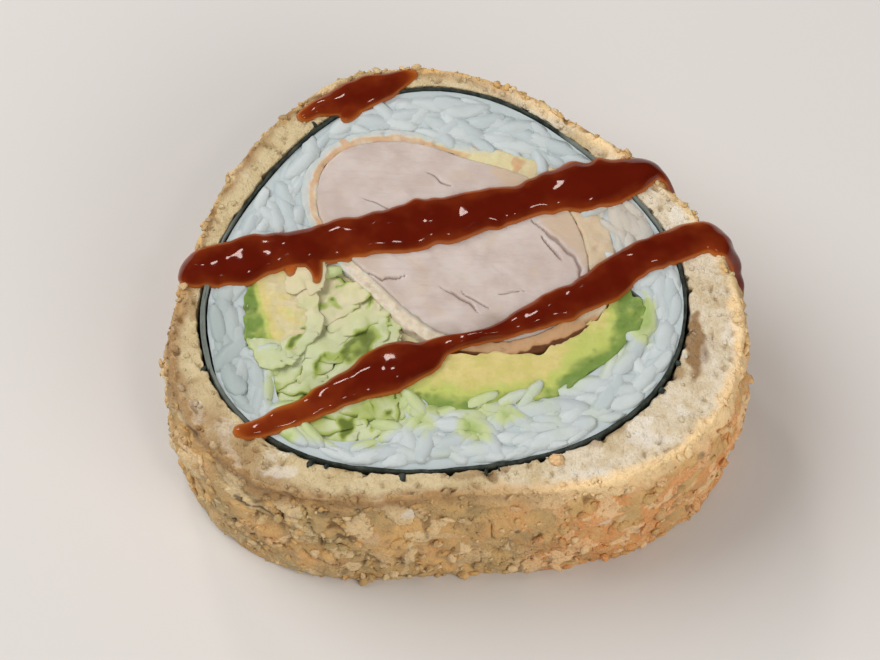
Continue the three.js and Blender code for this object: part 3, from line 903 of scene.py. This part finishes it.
def buildBatter():
    # a ring whose inner and outer reach come from the CAD ring; tones by side: a browned line at the upper
    # left, yellowish at the top, cream at the right, browned underneath with a painted shadow along the
    # avocado, grey at the lower left
    finish = Finish("cooked_batter", Roughness=0.5, Subsurface_Weight=0.3, Subsurface_Scale=0.001)
    grain = finish.noise(0.7, 3)
    yellow, cream, grey, pale, tan, brown = map(
        finish.tone, ("yellow", "cream", "grey", "pale", "tan", "brown"))
    base = finish.layers(
        (216, 206, 186), (grain.between(0.3, 0.7), (202, 188, 164)), (yellow * 0.8, (210, 200, 150)),
        (cream * 0.85, (200, 180, 150)), (grey * 0.7, (150, 138, 124)), (pale * 0.9, (188, 196, 194)),
        (tan.between(0.1, 0.9) * 0.85, (200, 160, 120)), (brown.between(0.05, 0.5), (182, 142, 100)),
        (brown.between(0.55, 0.95), (96, 56, 28)))
    material = finish.feed(height=grain, depth=0.1, Base_Color=base, Roughness=0.4 + 0.25 * grain)
    starts, directions = fan(batter["columns"], *chickenLine())
    edges = cutEdges("chicken_coating")
    inner = rounded(reach(edges, starts, directions), 2) - 0.45
    outer = rounded(reach(edges, starts, directions, True), 2) + 0.22
    heights = np.linspace(0, batter["top"], batter["wallRows"])
    grid = band(starts, directions, inner, np.repeat(outer[None], len(heights), 0), heights,
                batter["faceRows"], batter["innerRows"])
    grid = rounded(grid, 2)
    radius = np.linalg.norm(grid[..., :2] - starts, axis=-1)
    across = np.clip((radius - inner) / (outer - inner), 0, 1)
    bumps, own = lumps(grid, 1.3, 61)
    pores = smoothStep(bumps, 0.6, 0.85) * (own > 0.6)
    relief = 0.14 * noise(grid, 1.0, 63, 3) - 0.25 * pores + 0.15 * noise(grid, 4.0, 65)
    grid = grid + normalsOf(grid, True) * relief[..., None]
    grid[..., 2] = np.maximum(grid[..., 2], 0)
    x, y = fromFace(grid)
    rough = noise(grid, 1.2, 67, 2)
    line = 1 - smoothStep(np.abs(across - 0.3 + 0.12 * rough), 0.1, 0.36)
    pale = smoothStep(y - x, 8.0, 14.0) * smoothStep(across + 0.12 * rough, 0.5, 0.7)
    tan = line * smoothStep(y - x + 1.5 * rough, 10.0, 16.0) * (0.75 + 0.35 * rough)
    speck = smoothStep(noise(grid, 1.6, 69, 2), 0.55, 0.85) * smoothStep(y, 8.0, 11.0)
    # browned on the lower side, and darkest at its outer edge as a painted shadow where it meets the avocado
    brown = smoothStep(-y, 3.6, 5.6) * smoothStep(x, -1.0, 2.0)
    brown *= 0.4 + 0.6 * smoothStep(across + 0.15 * rough, 0.6, 0.85)
    grey = smoothStep(-x - y + rough, -1.0, 3.0) * smoothStep(-y, -2.0, 2.0)
    grey *= 1 - smoothStep(across, 0.1, 0.4)
    coat = surface("chicken_batter", grid, material, "batter", True,
                   yellow=smoothStep(y, 8.0, 11.0) * smoothStep(x, -4.0, 2.0), cream=smoothStep(x, 6.0, 13.0),
                   grey=grey, pale=pale, tan=np.maximum(tan, 0.8 * speck), brown=brown)
    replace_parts(coat, "chicken_coating")


# Avocado

avocado = {
    "slice": {"node": "avocado_slice", "middle": (8.6, -10.9), "halfLine": 12.4, "turn": 18, "bend": 17.5,
              "top": 17.9, "columns": 420, "faceRows": 34, "ragged": 0.6, "grow": 0.35, "mash": 0.14},
    "chunk": {"node": "avocado_chunk", "middle": (-16.8, -3.8), "halfLine": 2.0, "turn": 86, "bend": 1e6,
              "top": 17.9, "columns": 260, "faceRows": 30, "ragged": 0.35, "grow": 0.5, "mash": 0.28},
}


def avocadoFinish():
    finish = Finish("ripe_avocado", Roughness=0.34, Subsurface_Weight=0.4, Subsurface_Scale=0.0015,
                    Subsurface_Radius=(0.9, 1.0, 0.4))
    skin, soft, fine = finish.tone("skin"), finish.noise(1.6, 3), finish.noise(0.35, 2)
    base = finish.layers(
        (212, 196, 132), (soft.between(0.35, 0.7), (198, 188, 114)),
        (finish.tone("cream") * soft.between(0.3, 0.6), (208, 196, 156)),
        (skin.between(0.05, 0.5), (184, 192, 104)), (skin.between(0.55, 1.0), (116, 142, 68)),
        (finish.tone("bruise") * 0.7, (104, 116, 56)))
    return finish.feed(height=soft + 0.4 * fine, depth=0.12, Base_Color=base, Roughness=0.26 + 0.25 * soft)


def buildAvocado(material, look, tonesOf):
    # a puck spread from a bent middle line, with a ragged outline and a mashed, uneven top;
    # tonesOf gives how green and how creamy each place is
    starts, directions = fan(look["columns"], onFace(look["middle"]), look["halfLine"], look["turn"],
                             look["bend"])
    outer = rounded(reach(cutEdges(look["node"]), starts, directions), 3) + look["grow"]
    edge = np.concatenate([starts + outer[:, None] * directions, np.zeros((len(outer), 1))], -1)
    outer = outer + look["ragged"] * (noise(edge, 2.4, 83, 2) + 0.5 * noise(edge, 0.9, 84))
    grid = puck(starts, directions, outer, np.linspace(look["top"], 0.0, 14), look["faceRows"])
    grid = rounded(grid, 3, closed=False)
    relief = noise(grid, 2.2, 71, 3) + 0.5 * noise(grid * [0.35, 1.6, 1], 1.0, 73, 2)
    relief = look["mash"] * relief + 0.08 * noise(grid, 5.0, 75)
    upper, level = onFaces(grid)
    grid[..., 2] = np.maximum(grid[..., 2] + np.where(upper, relief, 0.1 - 0.3 * relief) * level, 0.04)
    skin, cream = tonesOf(*fromFace(grid))
    skin = np.clip(skin + 0.25 * noise(grid, 1.5, 77, 3), 0, 1)
    bruise = smoothStep(noise(grid * [1, 1, 0.4], 1.3, 79, 2), 0.7, 1.0) * smoothStep(skin, 0.2, 0.7)
    piece = surface(look["node"] + "_flesh", grid, material, "avocado", skin=skin, cream=cream, bruise=bruise)
    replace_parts(piece, look["node"])


def sliceTones(x, y):
    # green towards the outer side of the arc and at its right end
    outward = np.hypot(x - 3.2, y - 5.75)
    end = smoothStep(x, 15.6, 18.6) * smoothStep(y, -10.5, -7.5)
    near = 0.3 * smoothStep(x, 9.0, 14.0)
    return np.maximum(0.85 * smoothStep(outward, 16.6, 21.0) + near, end), 0 * x


def chunkTones(x, y):
    # a green rim along the left side, darkest low down, and a creamy rest
    fromLeft = x + 0.26 * (y + 1.8) + 19.6
    return 1 - smoothStep(fromLeft, 0.2, 1.5), smoothStep(fromLeft, 1.0, 2.4)


# Lettuce

lettuce = {
    "core": (1.0, 16.9), "grow": 0.3, "turn": 36, "spacing": 2.7, "top": 17.45, "thickness": 0.4,
    "half": (1.2, 2.6), "size": (1.4, 2.1), "lean": (0.06, 0.17), "columns": 64, "rows": 10,
    "over": [  # leaves that lie on the chunk's edge
        (-14.7, 1.2), (-13.9, 0.6), (-14.1, -1.6), (-14.0, -4.4), (-15.0, -7.2), (-17.2, -8.8)],
    "greens": [  # darker strokes: x, y, half length, half width, turn
        (-11.8, -3.3, 1.0, 0.7, 0), (-14.6, -6.8, 1.2, 0.5, 60), (-8.8, -7.4, 2.4, 0.8, 62),
        (-11.7, -10.4, 1.6, 0.8, 50), (-17.4, -12.8, 1.6, 0.8, 70), (-9.9, -17.0, 1.8, 0.8, 80),
        (-13.6, -18.2, 2.0, 0.8, 55), (-4.4, -13.2, 1.6, 0.7, 75), (-6.6, -15.2, 1.4, 0.6, 100),
        (-17.0, -16.4, 1.4, 0.5, 40), (-7.0, -3.6, 1.4, 0.4, 50)],
}


def buildLettuce():
    finish = Finish("folded_lettuce", Roughness=0.34, Subsurface_Weight=0.08, Subsurface_Scale=0.0008,
                    Subsurface_Radius=(0.8, 1.0, 0.4))
    green, soft = finish.tone("green"), finish.noise(1.8, 3)
    base = finish.layers(
        (208, 198, 160), (finish.tone("low"), (192, 200, 158)),
        (soft.between(0.4, 0.75) * 0.6, (186, 192, 134)), (green.between(0.2, 0.65), (156, 172, 88)),
        (green.between(0.6, 0.9), (100, 116, 48)))
    material = finish.feed(height=soft, depth=0.1, Base_Color=base, Roughness=0.3 + 0.2 * soft)
    core = clippedCore("lettuce_core", "lettuce", *lettuce["core"], lettuce["grow"], material, "lettuce")
    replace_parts(core, "lettuce")

    # torn leaves laid like shingles: each spreads from a short line to a wavy edge, is slightly
    # domed, and leans so that its lower right edge stands over the next one
    rng = np.random.default_rng(41)
    edges = cutEdges("lettuce")
    step = lettuce["spacing"]
    x, y = np.meshgrid(np.arange(-24, 6, step), np.arange(-24, 8, 0.75 * step))
    places = np.stack([(x + 0.5 * step * (np.arange(len(x))[:, None] % 2)).ravel(), y.ravel()], -1)
    places += rng.normal(0, 0.4, places.shape)
    room = edgeDistance(edges, places)
    over = onFace(lettuce["over"])
    places, room = np.concatenate([places[room > 0.4], over]), np.append(room[room > 0.4], np.ones(len(over)))
    lifted = np.arange(len(places)) >= len(places) - len(over)
    share = np.linspace(0, 1, lettuce["rows"]) ** 0.8
    share = np.concatenate([share, share[-2::-1]])[:, None]
    onTop = np.arange(len(share))[:, None] < lettuce["rows"]
    grids = []
    for number, place in enumerate(places):
        turn = lettuce["turn"] + rng.normal(0, 24)
        half = min(rng.uniform(*lettuce["half"]), room[number] + 0.2)
        starts, directions = fan(lettuce["columns"], place, half, turn, rng.choice([-7.0, 7.0]))
        size = rng.uniform(*lettuce["size"])
        ring = np.concatenate([5 * directions, np.full((len(directions), 1), 9.0 * number)], -1)
        outer = size * (1 + 0.22 * noise(ring, 3.0, 51) + 0.1 * noise(ring, 1.0, 52))
        outer = np.where(lifted[number], outer, np.minimum(outer, reach(edges, starts, directions) + 0.45))
        flat = starts + (share * outer)[..., None] * directions
        heading = math.radians(turn - 90)
        ahead = (flat - place) @ np.array([math.cos(heading), math.sin(heading)])
        level = lettuce["top"] + 0.5 * lifted[number] + rng.normal(0, 0.1)
        level = level + rng.uniform(*lettuce["lean"]) * ahead
        level = level + 0.2 * (1 - share ** 2) + 0.22 * share ** 2 * noise(ring, 1.6, 53)
        level = level + 0.1 * noise(np.concatenate([flat, level[..., None]], -1), 1.2, 54, 2)
        level = level - np.where(onTop, 0, lettuce["thickness"] * (1 - share ** 4))
        grids.append(np.concatenate([flat, level[..., None]], -1))
    grid = np.stack(grids)
    grid[..., 2] = np.minimum(grid[..., 2], 18.25)
    lower = grid * [1, 1, -1] + [0, 0, sliceHeight]
    foot = 0.005 * (np.arange(len(grids)) % 7)[:, None, None] + np.where(onTop, 0, 0.09)
    lower[..., 2] = np.clip(lower[..., 2], foot, 1.6)
    x, y = fromFace(grid)
    patchy = noise(grid * [1, 1, 0.5], 2.2, 49, 3)
    edge = smoothStep(share, 0.7, 1.0)[None]
    frill = smoothStep(-y, 8.0, 14.0)
    green = np.clip(0.1 + 0.3 * patchy + edge * (0.2 + 0.25 * frill + 0.3 * patchy) + 0.22 * frill, 0, 1)
    bentX, bentY = x + 1.3 * noise(grid, 2.0, 56, 2), y + 1.3 * noise(grid, 2.0, 58, 2)
    for strokeX, strokeY, *size, turn in lettuce["greens"]:
        c, s = math.cos(math.radians(turn)), math.sin(math.radians(turn))
        offX, offY = bentX - strokeX, bentY - strokeY
        stroke = spot(offX * c + offY * s, offY * c - offX * s, (0, 0), size, 0.2, 1.9, 0.5 * patchy)
        green = np.maximum(green, 0.9 * stroke)
    low = smoothStep(-y + 1.5 * patchy, 1.0, 8.0)
    surface("lettuce_leaves", np.concatenate([grid, lower]), material, "lettuce",
            green=np.concatenate([green, green]), low=np.concatenate([low, low]))


# Sauce

sauce = {
    "across": 30, "step": 0.2, "lift": 6.0, "missed": -0.4,
    "stripes": [  # guides: x, y, width, thickness, and past the rim also height and outward lean
        [(-27.0, -0.4, 2.2, 0.6, 17.6, 0.4), (-25.8, 0.6, 3.9, 1.0, 17.9, 0.1), (-23.5, 1.5, 5.4, 1.2),
         (-20, 2.1, 5.6, 1.25), (-16, 3.2, 4.6, 1.1), (-13, 3.8, 4.6, 1.1), (-10, 4.7, 4.9, 1.1),
         (-7, 5.3, 5.6, 1.2), (-4, 5.9, 5.9, 1.25), (0, 6.8, 6.0, 1.3), (5, 8.1, 5.1, 1.2),
         (8, 9.0, 4.6, 1.1), (11, 10.2, 5.2, 1.2), (14, 10.9, 6.3, 1.4), (17, 11.4, 6.3, 1.45),
         (19.6, 12.2, 5.4, 1.3), (21.0, 12.9, 4.0, 1.05), (22.0, 13.2, 2.9, 0.85, 17.9, 0.2),
         (22.8, 13.0, 2.3, 0.8, 17.4, 0.7), (23.4, 12.5, 2.0, 0.8, 16.4, 1.2),
         (23.6, 12.1, 1.8, 0.85, 15.2, 1.5), (23.7, 11.8, 1.6, 0.8, 14.0, 1.57)],
        [(-21.0, -17.9, 1.8, 0.5), (-18.5, -17.5, 2.3, 0.6), (-16, -16.3, 2.7, 0.55),
         (-14, -15.5, 2.8, 0.55), (-12, -14.2, 3.2, 0.75), (-10, -12.8, 3.7, 0.95), (-8, -11.8, 4.4, 1.1),
         (-6, -10.7, 5.3, 1.25), (-4, -9.8, 5.4, 1.35), (-2, -9.2, 4.5, 1.25), (-0.4, -8.2, 2.9, 1.1),
         (1, -7.5, 1.9, 0.95), (2.5, -7.2, 1.5, 0.9), (4.5, -6.8, 1.5, 0.9), (6.2, -6.2, 2.0, 1.0),
         (8, -5.1, 3.0, 1.1), (11, -3.8, 3.9, 1.2), (14, -2.4, 4.0, 1.2), (17, -0.3, 4.6, 1.2),
         (20, 2.1, 4.2, 1.2), (23, 3.6, 4.1, 1.1), (25.5, 4.6, 4.2, 0.9),
         (27.4, 5.0, 4.2, 0.65, 18, 0.15), (29.2, 4.9, 4.2, 0.8, 17.2, 0.8),
         (29.9, 4.0, 2.9, 1.2, 15.0, 1.5), (30.2, 3.2, 2.1, 1.2, 12.6, 1.57),
         (30.3, 2.7, 2.3, 1.4, 10.6, 1.57), (30.3, 2.5, 2.2, 1.3, 9.0, 1.57)],
        [(-15.2, 19.2, 1.6, 0.5), (-13.2, 20.7, 2.4, 0.7), (-10, 21.6, 4.2, 1.2), (-7, 22.9, 3.8, 1.1),
         (-4.4, 24.3, 2.4, 0.7), (-2.6, 25.2, 0.9, 0.2)],
        [(-13.6, 3.4, 4.0, 0.9), (-13.4, 2.2, 3.0, 0.7), (-12.9, 1.0, 1.5, 0.55), (-12.7, 0.0, 1.1, 0.5),
         (-12.9, -0.9, 0.8, 0.45)],
        [(-15.9, 3.0, 3.6, 0.7), (-15.8, 1.8, 2.4, 0.55), (-15.4, 0.8, 1.2, 0.45),
         (-15.5, 0.1, 0.7, 0.35)],
        [(-9.4, 21.8, 3.4, 0.9), (-9.7, 20.2, 2.8, 0.8), (-10.1, 19.2, 1.8, 0.6),
         (-10.3, 18.6, 0.9, 0.4)],
    ],
}


def alongGuides(guides):
    # evenly spaced points on a smooth line through the guides, each with all six of its values
    guides = np.array([guide if len(guide) == 6 else (*guide, sliceHeight, 0) for guide in guides], float)
    guides = guides[:, [0, 1, 4, 5, 2, 3]]
    distance = np.concatenate([[0], np.cumsum(np.linalg.norm(np.diff(guides[:, :3], axis=0), axis=1))])
    at = np.linspace(0, distance[-1], int(distance[-1] / sauce["step"]) + 1)
    values = np.stack([np.interp(at, distance, column) for column in guides.T], -1)
    values = rounded(values, 14, closed=False)
    end = np.clip(np.minimum(at, distance[-1] - at) / (0.5 * values[:, 4]), 0, 1)
    cap = np.sqrt(1 - (1 - end) ** 2)  # both ends are rounded off
    values[:, 4] *= 0.02 + 0.98 * cap
    values[:, 5] *= 0.1 + 0.9 * cap ** 0.6
    return values


def buildSauce(below):
    # a flat-bottomed bead along each line: its top is a rounded bulge over what lies below, which is
    # smoothed as a thick liquid does, with slow swells; its two edges wander apart from each other
    finish = Finish("soy_glaze", Roughness=0.08, IOR=1.4, Specular_IOR_Level=0.45)
    depth, streak = finish.tone("depth"), finish.noise(3.0, 2)
    base = finish.mix(depth.between(0.1, 0.6), (182, 100, 38), (124, 48, 18))
    base = finish.mix((depth + 1.4 * streak).between(0.9, 1.95), base, (88, 21, 8))
    see = finish.add("ShaderNodeMapRange", {}, {"Value": depth, "From Min": 0.0, "From Max": 0.3,
                                                "To Min": 0.5, "To Max": 1.0})
    material = finish.feed(Base_Color=base, Alpha=see)

    across = np.linspace(-1, 1, sauce["across"])
    for number, guides in enumerate(sauce["stripes"]):
        values = alongGuides(guides)
        path = np.concatenate([onFace(values[:, :2]), values[:, 2:3]], -1)
        outward = unit(np.concatenate([path[:, :2], 0 * path[:, :1]], -1))
        lean = values[:, 3:4]
        normal = unit(np.cos(lean) * np.array([0.0, 0.0, 1.0]) + np.sin(lean) * outward)
        sideways = unit(np.cross(normal, unit(np.gradient(path, axis=0))))
        wander = np.stack([noise(path, 3.0, 60 + 10 * number + side, 2) + 0.8 * noise(path, 1.3, 62 + side)
                           for side in (0, 1)], -1)
        half = 0.5 * values[:, 4:5] * (1 + 0.09 * wander)
        offset = np.where(across < 0, half[:, :1], half[:, 1:]) * across
        flat = path[:, None] + offset[..., None] * sideways[:, None]
        up = np.broadcast_to(normal[:, None], flat.shape)
        base = np.array([hitHeight(below, point, way) for point, way
                         in zip(flat.reshape(-1, 3), up.reshape(-1, 3))]).reshape(flat.shape[:2])
        settled = rounded(rounded(base, 40, 0, False), 14, 1, False)
        bulge = (1 - np.abs(across) ** 2.3) ** 0.62 * (1 - 0.28 * across)  # thicker on its lower side
        swell = 1 + 0.1 * noise(flat, 3.4, 70 + number)
        beads = (0.11 * noise(flat, 2.1, 75 + number) + 0.06 * noise(flat, 1.1, 85 + number)) * bulge
        thick = values[:, 5:6] * bulge * swell + beads
        top = settled + thick - 0.12 * np.abs(across) ** 4
        under = np.minimum(settled, base) - 0.25
        grid = np.concatenate([flat + top[..., None] * up, (flat + under[..., None] * up)[:, ::-1]], 1)
        grid[[0, -1]] = grid[[0, -1]].mean(1, keepdims=True)
        seen = rounded(rounded(np.clip(0.6 * thick + 0.4 * (top - base), 0, 3), 8, 0, False), 2, 1, False)
        surface(f"sauce_stripe_{number + 1}", grid, material, "sauce",
                depth=np.concatenate([seen, seen[:, ::-1]], 1))


def hitHeight(below, point, way):
    # how high over a point, in the way it faces, the surface below lies
    start = Vector(point + way * sauce["lift"])
    hit = below.ray_cast(start, -Vector(way), 2 * sauce["lift"])
    return max(sauce["lift"] - hit[3], sauce["missed"]) if hit[3] is not None else sauce["missed"]


def allBelow():
    # everything built so far as one tree for rays, in millimetres
    corners, faces, first = [], [], 0
    for piece in bpy.context.scene.objects:
        if piece.type != "MESH" or piece.name == "floor" or piece.name in frame["nodes"]:
            continue
        mesh = piece.data
        points = np.empty(len(mesh.vertices) * 3)
        mesh.vertices.foreach_get("co", points)
        mesh.calc_loop_triangles()
        triangles = np.empty(len(mesh.loop_triangles) * 3, np.int32)
        mesh.loop_triangles.foreach_get("vertices", triangles)
        corners.append(points.reshape(-1, 3) / mm)
        faces.append(triangles.reshape(-1, 3) + first)
        first += len(mesh.vertices)
    return BVHTree.FromPolygons(np.concatenate(corners).tolist(), np.concatenate(faces).tolist(),
                                all_triangles=True)


buildStudio()
print("studio ready")
buildCrust()
print("crust ready")
buildNori()
buildRice()
print("nori and rice ready")
buildChicken()
buildBatter()
flesh = avocadoFinish()
buildAvocado(flesh, avocado["slice"], sliceTones)
buildAvocado(flesh, avocado["chunk"], chunkTones)
buildLettuce()
print("fillings ready")
buildSauce(allBelow())
print("sauce ready")
